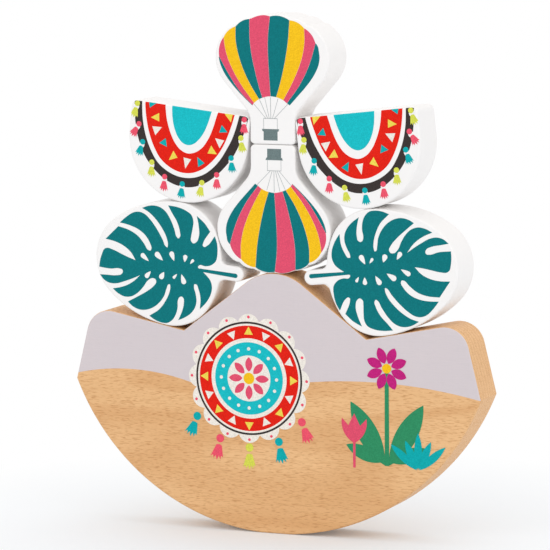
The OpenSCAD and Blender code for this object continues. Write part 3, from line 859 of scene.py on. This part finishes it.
# The line of the leaf's print round its lobes. Each row runs smoothly to a sharp corner
LOBES = (
    (
        (-26.5, -0.5), (-25, -0.3), (-24.2, 0.6), (-25, 1.7), (-28.6, 1.7), (-31.7, 2.6),
        (-34.4, 5.2), (-35, 10.5), (-34.2, 15.3), (-32.5, 19.1),
    ),
    ((-28.4, 13.1), (-26.8, 12.2), (-25.8, 12.9), (-26, 14.3), (-29.5, 21.2)),
    ((-25.8, 25.2), (-20.7, 28.7)),
    (
        (-22.4, 23.2), (-23.1, 17.8), (-22, 14.3), (-20.2, 13.2), (-18.6, 14.4), (-18.5, 17.1),
        (-18.9, 21.4), (-18.9, 25.7), (-17.6, 28.5), (-13.8, 30.7), (-8.4, 31.9), (-3, 32),
    ),
    (
        (-5.5, 28.5), (-9.3, 23.6), (-11.5, 18.5), (-11.9, 15.8), (-11, 14.6), (-10, 15.2),
        (-8.1, 19.2), (-4.9, 24.8), (-1.9, 28.3), (1.2, 30.1), (4.6, 30.7), (8.5, 30.1),
        (12.5, 28.3),
    ),
    (
        (8.1, 26.5), (3.9, 23.5), (-0.5, 19), (-4, 13.7), (-5.1, 9.9), (-4.9, 8.6), (-4.1, 8.9),
        (-1.5, 12.7), (2.7, 18.2), (7.1, 22.7), (10.7, 25.2), (14, 25.9), (17.3, 25.1), (21, 22.4),
        (25.1, 18.2),
    ),
    (
        (19.8, 17.7), (14.4, 16.4), (9.5, 13.8), (5.9, 9.7), (4.6, 6.2), (5.1, 5.3), (6.3, 5.4),
        (9.3, 8.6), (13.3, 12.3), (18.9, 14.8), (25.8, 16),
    ),
    ((32.8, 7.8),),
    ((26.8, 7.2), (21.3, 5.5), (16.7, 2.6), (13.5, -1.4)),
    (
        (18, -0.4), (22.8, 1), (27.6, 2.4), (31.7, 2.8), (32.8, 2.2), (34.3, -1.4), (35, -5.2),
        (35.1, -8.4),
    ),
    (
        (27.9, -8.4), (22.7, -7.5), (20.9, -7.9), (20.5, -9.1), (21.4, -10.6), (24.2, -11.6),
        (30.2, -12.2), (34.2, -12.6),
    ),
    ((31.6, -15.1), (28.1, -16.4), (23.8, -16.1), (18.7, -14), (14.2, -11.8), (10, -9.4)),
    ((13.4, -13.2), (17.2, -16), (21, -17.8), (25.7, -19.3)),
    (
        (21.9, -21.6), (17.8, -22.7), (13.9, -21.9), (10.2, -19.2), (7.2, -15.3), (5, -11.6),
        (2.5, -9.8), (0.5, -10.1), (-0.2, -11.7), (1.1, -14), (5, -17.7), (10, -21.3),
        (15.8, -25.2),
    ),
    (
        (12.7, -27.3), (8.6, -28.5), (4.6, -28.1), (0.5, -26.2), (-3.4, -22.5), (-5.7, -18.5),
        (-6.8, -14), (-7.6, -11.8), (-8.5, -11.6), (-8.9, -13.1), (-8.5, -16.8), (-6.9, -21.1),
        (-3.8, -26.2), (2.1, -31.1),
    ),
    (
        (-1.8, -32.9), (-5.9, -33.7), (-9.1, -33.4), (-11.9, -31.3), (-13.8, -27.6),
        (-14.4, -23.9), (-14.2, -19.6), (-14.8, -18), (-16.1, -17.3), (-17.5, -18.2),
        (-17.9, -20.6), (-17.5, -24.6), (-16.5, -28.1), (-15.5, -30.8),
    ),
    (
        (-19.2, -28.7), (-22.8, -25.6), (-24.8, -22.2), (-25.3, -18.5), (-24.3, -14.3),
        (-23, -10.9), (-23.1, -9.3), (-24.1, -9.2), (-26.1, -12.2), (-27.5, -16.3), (-27.8, -22.6),
    ),
    ((-31.3, -18.1), (-33.4, -13.5), (-33.7, -9.2), (-32.3, -5.7), (-30.1, -3.6), (-27.3, -1.6)),
)
# The holes beside the midrib: the round end, the point and the width of each
HOLES = (
    ((10.5, 2.7), (5.4, -0.8), 2.8),
    ((2, 4.7), (-3, 0.9), 3.2),
    ((-7.2, 6.7), (-9.7, 1.7), 3),
    ((-16.2, 6.2), (-16, 2), 2.6),
    ((-21.3, 4.3), (-19.3, 1.5), 1.7),
    ((6.6, -10.1), (3.7, -6.1), 2.7),
    ((-2.4, -9.5), (-4.3, -5.3), 3),
    ((-10, -8), (-12.3, -5.2), 1.7),
    ((-17.2, -10.2), (-14.8, -4.9), 3),
)


def drop(sheet, high, tip, width):
    """A drop-shaped hole, round at one end and pointed at the other."""
    high, tip = Vector(high), Vector(tip)
    u = (tip - high).normalized()
    n = at(-u.y, u.x) * width / 2
    middle = high + u * width / 2
    sheet.start(tip).bend(middle + n, width * 0.08).round(middle, middle - n)
    return sheet.bend(tip, width * 0.08).fill()


def leaves(game):
    sizes, s = in_mm(game.board), in_mm(game.leaf)
    body = board(leaf_outline(s), sizes)
    ink = Print(sizes, body)
    print_line, holes = Sheet().start(LOBES[-1][-1]), Sheet()
    for points in LOBES:
        print_line.flow(*points)
    for values in HOLES:
        drop(holes, *values)
    ink.lay(print_line.fill(), "teal", without=holes)
    stalk = Sheet().start(at(-25, -0.1)).line(at(-47, 0.35)).round(at(-47, -0.85), at(-47, -2.05))
    ink.lay(stalk.line(at(-25, -1.7)).fill(), "teal", 2)
    # The right block is the left one turned half round, so its print stands on its head
    pair("leaf", body, ink, game.colours, s.tilt, over_right=True)


# The half-round blocks


def half_round_outline(s):
    r, top, c = s.radius, s.straight, s.corner
    sheet = Sheet().start(at(-r, 0)).round(at(0, 0), at(r, 0)).line(at(r, top - c))
    sheet.round(at(r - c, top - c), at(r - c, top)).line(at(c - r, top))
    return sheet.round(at(c - r, top - c), at(-r, top - c)).fill()


# The edges of the bands, from the upper left corner round to the upper right one
TURQUOISE = (
    (-13.2, 19.5), (-12.1, 14), (-10.9, 9.3), (-9.1, 4.4), (-6.6, 0.3), (-3.9, -2.4),
    (-0.6, -3.6), (2.9, -2.7), (5.7, -0.2), (8.3, 4.2), (10, 9.3), (10.8, 14), (11.2, 19.5),
)
RED_INNER = (
    (-17.2, 19.5), (-15.8, 14), (-14.4, 7.8), (-12.1, 1.2), (-8.7, -4.3), (-5, -7.1),
    (-0.6, -8.2), (3.8, -6.7), (7.3, -3.5), (10.6, 1.7), (13.2, 7.9), (14.7, 14), (15.5, 19.5),
)
RED_OUTER = (
    (-26.7, 19.5), (-25.9, 14), (-24.7, 8.9), (-21.4, -1.2), (-18.8, -6.3), (-15, -11.3),
    (-10.1, -15.8), (-3.9, -18.7), (3, -19.1), (9.6, -17), (15.2, -13.2), (19.2, -8),
    (22.2, -2.5), (25.9, 8.4), (27, 14), (27.6, 19.5),
)
DARK_INNER = (
    (-29.6, 19.5), (-28.8, 14), (-27.6, 8.3), (-26, 2.7), (-23.6, -2.8), (-20.7, -8.5),
    (-16.6, -14), (-11.1, -18.7), (-4.2, -21.4), (3.2, -21.7), (10.4, -19.6), (16.6, -15.6),
    (21, -10), (24.3, -4), (26.6, 2), (28.1, 7.9), (29, 14), (29.5, 19.5),
)
DARK_OUTER = (
    (-35, 19.5), (-34.3, 14), (-32.8, 7.1), (-30.7, 0.5), (-27.8, -6.2), (-24, -12),
    (-18.9, -18), (-12.6, -23.2), (-4.8, -26.5), (3.8, -26.7), (11.6, -24.2), (18.6, -19.4),
    (24.3, -13.5), (28.2, -6.8), (31, 0.2), (32.6, 7), (33.6, 14), (34.2, 19.5),
)
TRIANGLE_INKS = ("sand", "tassel_teal", "cream")
TRIANGLES = (
    ((-25.2, 16.9), (-20.3, 16.7), (-24.7, 12.4)),
    ((-19.4, 10.3), (-23.2, 6.7), (-18.3, 5.9)),
    ((-21.7, 2), (-16.2, 2.5), (-19.4, -2.6)),
    ((-14.3, -1.8), (-18.2, -6.2), (-12.6, -6.5)),
    ((-6.7, -9.3), (-11.4, -12.1), (-7.8, -14.8)),
    ((-3.2, -11.2), (1.4, -10.7), (-0.2, -16.8)),
    ((7.8, -7.9), (5, -11.4), (10.1, -13.5)),
    ((13.1, -1.6), (11.9, -6.3), (16.8, -4.8)),
    ((16, 4.1), (21.8, 3.8), (19.5, -0.9)),
    ((18.4, 11.7), (17.9, 7), (23.2, 8.6)),
    ((20.1, 17.2), (25.3, 17.8), (24.3, 13.8)),
)
TASSEL_INKS = ("tassel_pink", "lime", "tassel_teal")
# Each tassel: its head, and how far it leans to the right, in degrees
TASSELS = (
    ((-32.3, 15), -4),
    ((-31.4, 4.7), -12),
    ((-26.8, -7.1), -10),
    ((-19.2, -17.5), -6),
    ((-10.9, -23.1), 5),
    ((0.7, -25.5), 1),
    ((11.6, -23), 0),
    ((20.1, -16.1), -3),
    ((26.7, -5.6), 13),
    ((29.9, 4), 27),
    ((32, 15.2), 12),
)


def band(outer, inner=None):
    sheet = Sheet().start(outer[0]).flow(*outer[1:])
    if inner:
        sheet.line(inner[-1]).flow(*reversed(inner[:-1]))
    return sheet.fill()


def half_rounds(game):
    sizes, s = in_mm(game.board), in_mm(game.half_round)
    body = board(half_round_outline(s), sizes)
    ink = Print(sizes, body)
    ink.lay(band(TURQUOISE), "turquoise", to_edge=True)
    ink.lay(band(RED_OUTER, RED_INNER), "red", to_edge=True)
    ink.lay(band(DARK_OUTER, DARK_INNER), "dark", to_edge=True)
    sheets = [Sheet() for _ in TRIANGLE_INKS]
    for k, corners in enumerate(TRIANGLES):
        sheets[k % len(sheets)].start(corners[0]).line(*corners[1:]).fill()
    for name, sheet in zip(TRIANGLE_INKS, sheets):
        ink.lay(sheet, name, 2, to_edge=True)
    sheets, collars = [Sheet() for _ in TASSEL_INKS], Sheet()
    for k, (head, lean) in enumerate(TASSELS):
        tassel(sheets[k % len(sheets)], Vector(head), lean)
        collar(collars, Vector(head), lean)
    ink.lay(collars, "white", 2, to_edge=True)
    for name, sheet in zip(TASSEL_INKS, sheets):
        ink.lay(sheet, name, 3, to_edge=True)
    pair("half_round", body, ink, game.colours, s.tilt)


# The balloon blocks


# Where the scallops over the top meet, as shares of the half width, and how far they swell
CUSPS, SCALLOP_SWELL = (0, 0.36, 0.61, 0.81), 1.7


def balloon_outline(s):
    side = at(s.half_width - s.side_radius, s.belly)
    high = s.length - s.belly
    dome = (side.x**2 + high**2 - s.side_radius**2) / (2 * (high - s.side_radius))
    top = at(0, s.length - dome)
    reach = dome - s.scallop
    cusps = [
        top + at(x * s.half_width, sqrt(reach**2 - (x * s.half_width) ** 2))
        for x in CUSPS
    ]
    bulge = SCALLOP_SWELL * s.scallop
    lobes = []
    for a, b in zip(cusps, cusps[1:]):
        chord = (b - a).length / 2
        r = (chord**2 + bulge**2) / (2 * bulge)
        u = (b - a).normalized()
        lobes.append(((a + b) / 2 + at(u.y, -u.x) * sqrt(r**2 - chord**2), r))
    joins = meeting(side, s.side_radius, *lobes[-1]), meeting(*lobes[-1], side, s.side_radius)
    join = max(joins, key=lambda p: p.x + p.y)
    touch, along = side + turned((s.side_radius, 0), -s.flare), turned((0, 1), -s.flare)
    w, c, f = s.neck_half, s.neck_corner, s.neck_fillet
    foot = crossing(touch, along, at(w, 0), at(0, 1))
    rise = f * tan(radians(s.flare / 2))
    fillet, end = at(w + f, foot.y - rise), foot + along * rise
    sheet = Sheet().start(at(w - c, 0)).round(at(w - c, c), at(w, c)).line(at(w, fillet.y))
    sheet.round(fillet, end, clockwise=True).line(touch).round(side, join)
    for (centre, _), cusp in reversed(list(zip(lobes, cusps))):
        sheet.round(centre, cusp)
    for (centre, _), cusp in zip(lobes, [*cusps[1:-1], join]):
        sheet.round(mirrored(centre), mirrored(cusp))
    sheet.round(mirrored(side), mirrored(touch)).line(mirrored(end))
    sheet.round(mirrored(fillet), at(-w, fillet.y), clockwise=True).line(at(-w, c))
    return sheet.round(at(c - w, c), at(c - w, 0)).fill()


# The lines between the gores, each from the mouth over the belly to the crown
GORE_LINES = (
    (
        (-11.7, 21.1), (-13.9, 23), (-17.2, 26), (-20.3, 29), (-23.1, 32), (-26.4, 36),
        (-28.9, 40), (-30.6, 44), (-31.2, 46.6),
    ),
    (
        (-11.5, 21.3), (-13.5, 23.1), (-16.5, 26), (-19.2, 29), (-21.5, 32), (-24.2, 36),
        (-26.7, 40), (-29, 44), (-31, 47.4),
    ),
    ((-10.6, 22.5), (-18, 32), (-22.9, 40), (-26.4, 48), (-28.1, 56), (-28.3, 58)),
    ((-7.6, 24.6), (-12.4, 32), (-16.5, 40), (-19.4, 48), (-21.1, 56), (-21.2, 64)),
    ((-5.7, 25.4), (-7.8, 32), (-9.9, 40), (-11.7, 48), (-12.8, 56), (-13, 68.2)),
    ((-0.9, 26.3), (-1.3, 32), (-1.8, 40), (-2.2, 48), (-2.2, 58), (-0.9, 69.8)),
    ((2.4, 25.9), (4.4, 32), (6.5, 40), (8.2, 48), (9.5, 56), (10.5, 67.8)),
    ((6.6, 24.3), (11, 32), (14.9, 40), (17.8, 48), (19.2, 56), (19.1, 63.6)),
    ((8.7, 22.7), (15.7, 32), (20.2, 40), (23.4, 48), (25.6, 55.6)),
    (
        (10.4, 21.6), (14.5, 26), (20, 32), (23.2, 36), (25.7, 40), (27.4, 44),
        (28, 48), (27.5, 52),
    ),
)
GORES = ("teal", "pink", "yellow", "teal", "pink", "teal", "yellow", "pink", "teal")
MOUTH_RADIUS = 14.6
# Half of the white gap between two gores, and the swell of a gore's lobe as a share of its width
GORE_GAP, LOBE_SWELL = 0.05, 0.11
ROPE = 0.22


def gore(sheet, left, right):
    """One gore, up its right line, over its lobe and down its left line."""
    gap = at(GORE_GAP, 0)
    left, right = [Vector(p) + gap for p in left], [Vector(p) - gap for p in right]
    mouth = (right[0] - left[0]).length ** 2 / (8 * MOUTH_RADIUS)
    lobe = (left[-1] - right[-1]).length * LOBE_SWELL
    sheet.start(left[0]).bend(right[0], -mouth).flow(*right[1:])
    return sheet.bend(left[-1], lobe).flow(*reversed(left[:-1])).fill()


def balloons(game):
    sizes, s = in_mm(game.board), in_mm(game.balloon)
    body = board(balloon_outline(s), sizes)
    ink = Print(sizes, body)
    sheets = {}
    for name, left, right in zip(GORES, GORE_LINES, GORE_LINES[1:]):
        gore(sheets.setdefault(name, Sheet()), left, right)
    for name, sheet in sheets.items():
        ink.lay(sheet, name, to_edge=True)
    basket(ink)
    finishes = ink_finishes(game.colours, ink.inks)
    white = white_finish(game.colours)
    for level, turn in (("lower", 180), ("upper", 0)):
        node, slot = f"balloon_block_{level}", f"balloon_{level}_paint"
        block(node, body, ink, white, finishes, turn)


def bar(sheet, a, b, width):
    u = (b - a).normalized()
    n = at(-u.y, u.x) * width / 2
    return sheet.start(a - n).line(b - n, b + n, a + n).fill()


def basket(ink):
    """The basket, its rim and the fine ropes that carry it."""
    left, right, low, high, fork = -5.1, 3.1, 2.2, 8.4, 14.2
    body = Sheet().start(at(left, low)).line(at(right, low), at(right, high), at(left, high))
    ink.lay(body.fill(), "basket")
    rim = Sheet().start(at(left - 0.5, high - 1.3)).line(at(right + 0.5, high - 1.3))
    ink.lay(rim.line(at(right + 1, high), at(left - 1, high)).fill(), "basket", 2)
    ropes = ((-3.7, -10.7, 21.9), (-2.6, -7.4, 24.4), (-1.7, -4.3, 25.7), (-0.8, -0.9, 25.8))
    ropes += ((0.2, 3.5, 25.0), (1.2, 9.2, 22.2))
    for k, (foot, x, z) in enumerate(ropes):
        ink.lay(bar(Sheet(), at(foot, fork), at(x, z), ROPE), "rope", 1 + k % 2)
    for x in (left + 0.1, right - 0.1):
        ink.lay(bar(Sheet(), at(x, high), at(x, fork), ROPE), "rope")
    ink.lay(bar(Sheet(), at(left, fork), at(right, fork), 0.25), "rope", 3)


# The stage


# The middle of the stack, at which the lamps aim
MIDDLE = (0, 0, 0.15)
# Each lamp: its setting, its place and the width of its face
LAMPS = (
    ("key", (-0.9, -1.7, 1.3), 1.2),
    ("fill", (1.7, -0.9, 0.7), 1.2),
    ("top", (0.1, 0.2, 1.9), 1.4),
)
FLOOR_SIZE = 12
# Where the floor starts to go over into white, and where it is white, from the middle
WHITE_FROM, WHITE_AT = 0.05, 0.26
WHITE = (1, 1, 1, 1)

# The camera of the photograph: its place, its view, its roll in degrees and its focal length
CAMERA_SPOT = (0.7626, -1.8784, 0.4037)
CAMERA_VIEW = (-0.3750, 0.9182, -0.1278)
CAMERA_ROLL = -0.44
FOCAL_LENGTH, SENSOR_WIDTH = 242.84, 36


def lamp(name, spot, size, energy):
    """A square lamp that is turned to the stack."""
    light = bpy.data.lights.new(name, "AREA")
    light.shape = "SQUARE"
    light.size = size
    light.energy = energy
    thing = bpy.data.objects.new(name, light)
    thing.location = spot
    aim = Vector(MIDDLE) - Vector(spot)
    thing.rotation_euler = aim.to_track_quat("-Z", "Y").to_euler()
    bpy.context.scene.collection.objects.link(thing)


def camera():
    data = bpy.data.cameras.new("camera")
    data.sensor_width = SENSOR_WIDTH
    data.lens = FOCAL_LENGTH
    view = bpy.data.objects.new("camera", data)
    forward = Vector(CAMERA_VIEW).normalized()
    right = forward.cross(Vector((0, 0, 1))).normalized()
    up = right.cross(forward)
    roll = radians(CAMERA_ROLL)
    right, up = right * cos(roll) + up * sin(roll), up * cos(roll) - right * sin(roll)
    turn = Matrix((right, up, -forward)).transposed().to_4x4()
    view.matrix_world = Matrix.Translation(CAMERA_SPOT) @ turn
    bpy.context.scene.collection.objects.link(view)
    bpy.context.scene.camera = view


def seen_directly(f):
    """1 for what the camera sees itself, or in a gloss or a glass."""
    seen, gloss, glass = [
        f.add("ShaderNodeLightPath", output=name)
        for name in ("Is Camera Ray", "Is Glossy Ray", "Is Transmission Ray")
    ]
    return f.maths("MAXIMUM", seen, f.maths("MAXIMUM", gloss, glass))


def floor_finish(tone):
    """A matt floor that takes the shadow, and goes over into plain white farther out."""
    f = new_finish("pale_floor")
    matt = f.add("ShaderNodeBsdfDiffuse", values={"Color": (*tone, 1)})
    glow = f.add("ShaderNodeEmission", values={"Color": WHITE, "Strength": 1})
    away = f.add("ShaderNodeTexCoord", output="Object")
    away = f.add("ShaderNodeVectorMath", {"operation": "LENGTH"}, {0: away}, 1)
    away = f.steep(away, WHITE_FROM, WHITE_AT)
    white = seen_directly(f) * (0.1 + away * 0.9)
    return f.end(f.add("ShaderNodeMixShader", values={0: white, 1: matt, 2: glow}))


def room(strength):
    """A room that lights the stack evenly and is plain white where it is seen."""
    f = Finish(bpy.data.worlds.new("white_room"))
    seen = f.add("ShaderNodeBackground", values={"Color": WHITE, "Strength": 1})
    light = f.add("ShaderNodeBackground", values={"Color": WHITE, "Strength": strength})
    both = f.add("ShaderNodeMixShader", values={0: seen_directly(f), 1: light, 2: seen})
    return f.end(both, "ShaderNodeOutputWorld")


def stage(game):
    look = game.stage
    scene = bpy.context.scene
    scene.view_settings.view_transform = "Standard"
    mesh = bmesh.new()
    bmesh.ops.create_grid(mesh, x_segments=8, y_segments=8, size=FLOOR_SIZE)
    data = bpy.data.meshes.new("floor")
    mesh.to_mesh(data)
    data.materials.append(floor_finish(look.floor))
    floor = bpy.data.objects.new("floor", data)
    scene.collection.objects.link(floor)
    scene.world = room(look.world)
    for name, spot, size in LAMPS:
        lamp(name + "_light", spot, size, getattr(look, name))
    camera()


# Operators and panel


class BALANCE_OT_rocker(bpy.types.Operator):
    """Model the printed beech rocker"""

    bl_idname = "balance.rocker"
    bl_label = "Rocker"

    def execute(self, context):
        rocker(context.scene.balance_game)
        return {"FINISHED"}


class BALANCE_OT_leaf_blocks(bpy.types.Operator):
    """Model the two leaf blocks"""

    bl_idname = "balance.leaf_blocks"
    bl_label = "Leaf blocks"

    def execute(self, context):
        leaves(context.scene.balance_game)
        return {"FINISHED"}


class BALANCE_OT_half_round_blocks(bpy.types.Operator):
    """Model the two half-round blocks with their banded print"""

    bl_idname = "balance.half_round_blocks"
    bl_label = "Half-round blocks"

    def execute(self, context):
        half_rounds(context.scene.balance_game)
        return {"FINISHED"}


class BALANCE_OT_balloon_blocks(bpy.types.Operator):
    """Model the two balloon blocks"""

    bl_idname = "balance.balloon_blocks"
    bl_label = "Balloon blocks"

    def execute(self, context):
        balloons(context.scene.balance_game)
        return {"FINISHED"}


class BALANCE_OT_stage(bpy.types.Operator):
    """Set up the floor, the room, the lamps and the camera"""

    bl_idname = "balance.stage"
    bl_label = "Stage"

    def execute(self, context):
        stage(context.scene.balance_game)
        return {"FINISHED"}


OPERATORS = (
    BALANCE_OT_stage,
    BALANCE_OT_rocker,
    BALANCE_OT_leaf_blocks,
    BALANCE_OT_half_round_blocks,
    BALANCE_OT_balloon_blocks,
)


class BALANCE_PT_panel(bpy.types.Panel):
    bl_idname = "BALANCE_PT_panel"
    bl_label = "Balance game"
    bl_space_type = "VIEW_3D"
    bl_region_type = "UI"
    bl_category = "Balance game"

    def draw(self, context):
        for operator in OPERATORS:
            self.layout.operator(operator.bl_idname)
        game = context.scene.balance_game
        for group in ("board", "rocker", "leaf", "half_round", "balloon", "colours", "stage"):
            box = self.layout.box()
            box.label(text=group.replace("_", " ").capitalize())
            for name in getattr(game, group).__annotations__:
                box.prop(getattr(game, group), name)


GROUPS = (
    BoardSizes, RockerSizes, LeafSizes, HalfRoundSizes, BalloonSizes, Colours, StageLook,
    BalanceGame,
)


def register():
    for cls in (*GROUPS, *OPERATORS, BALANCE_PT_panel):
        bpy.utils.register_class(cls)
    bpy.types.Scene.balance_game = PointerProperty(type=BalanceGame)


def unregister():
    del bpy.types.Scene.balance_game
    for cls in reversed((*GROUPS, *OPERATORS, BALANCE_PT_panel)):
        bpy.utils.unregister_class(cls)


def main():
    register()
    bpy.ops.balance.stage()
    bpy.ops.balance.rocker()
    bpy.ops.balance.leaf_blocks()
    bpy.ops.balance.half_round_blocks()
    bpy.ops.balance.balloon_blocks()


if __name__ == "__main__":
    main()
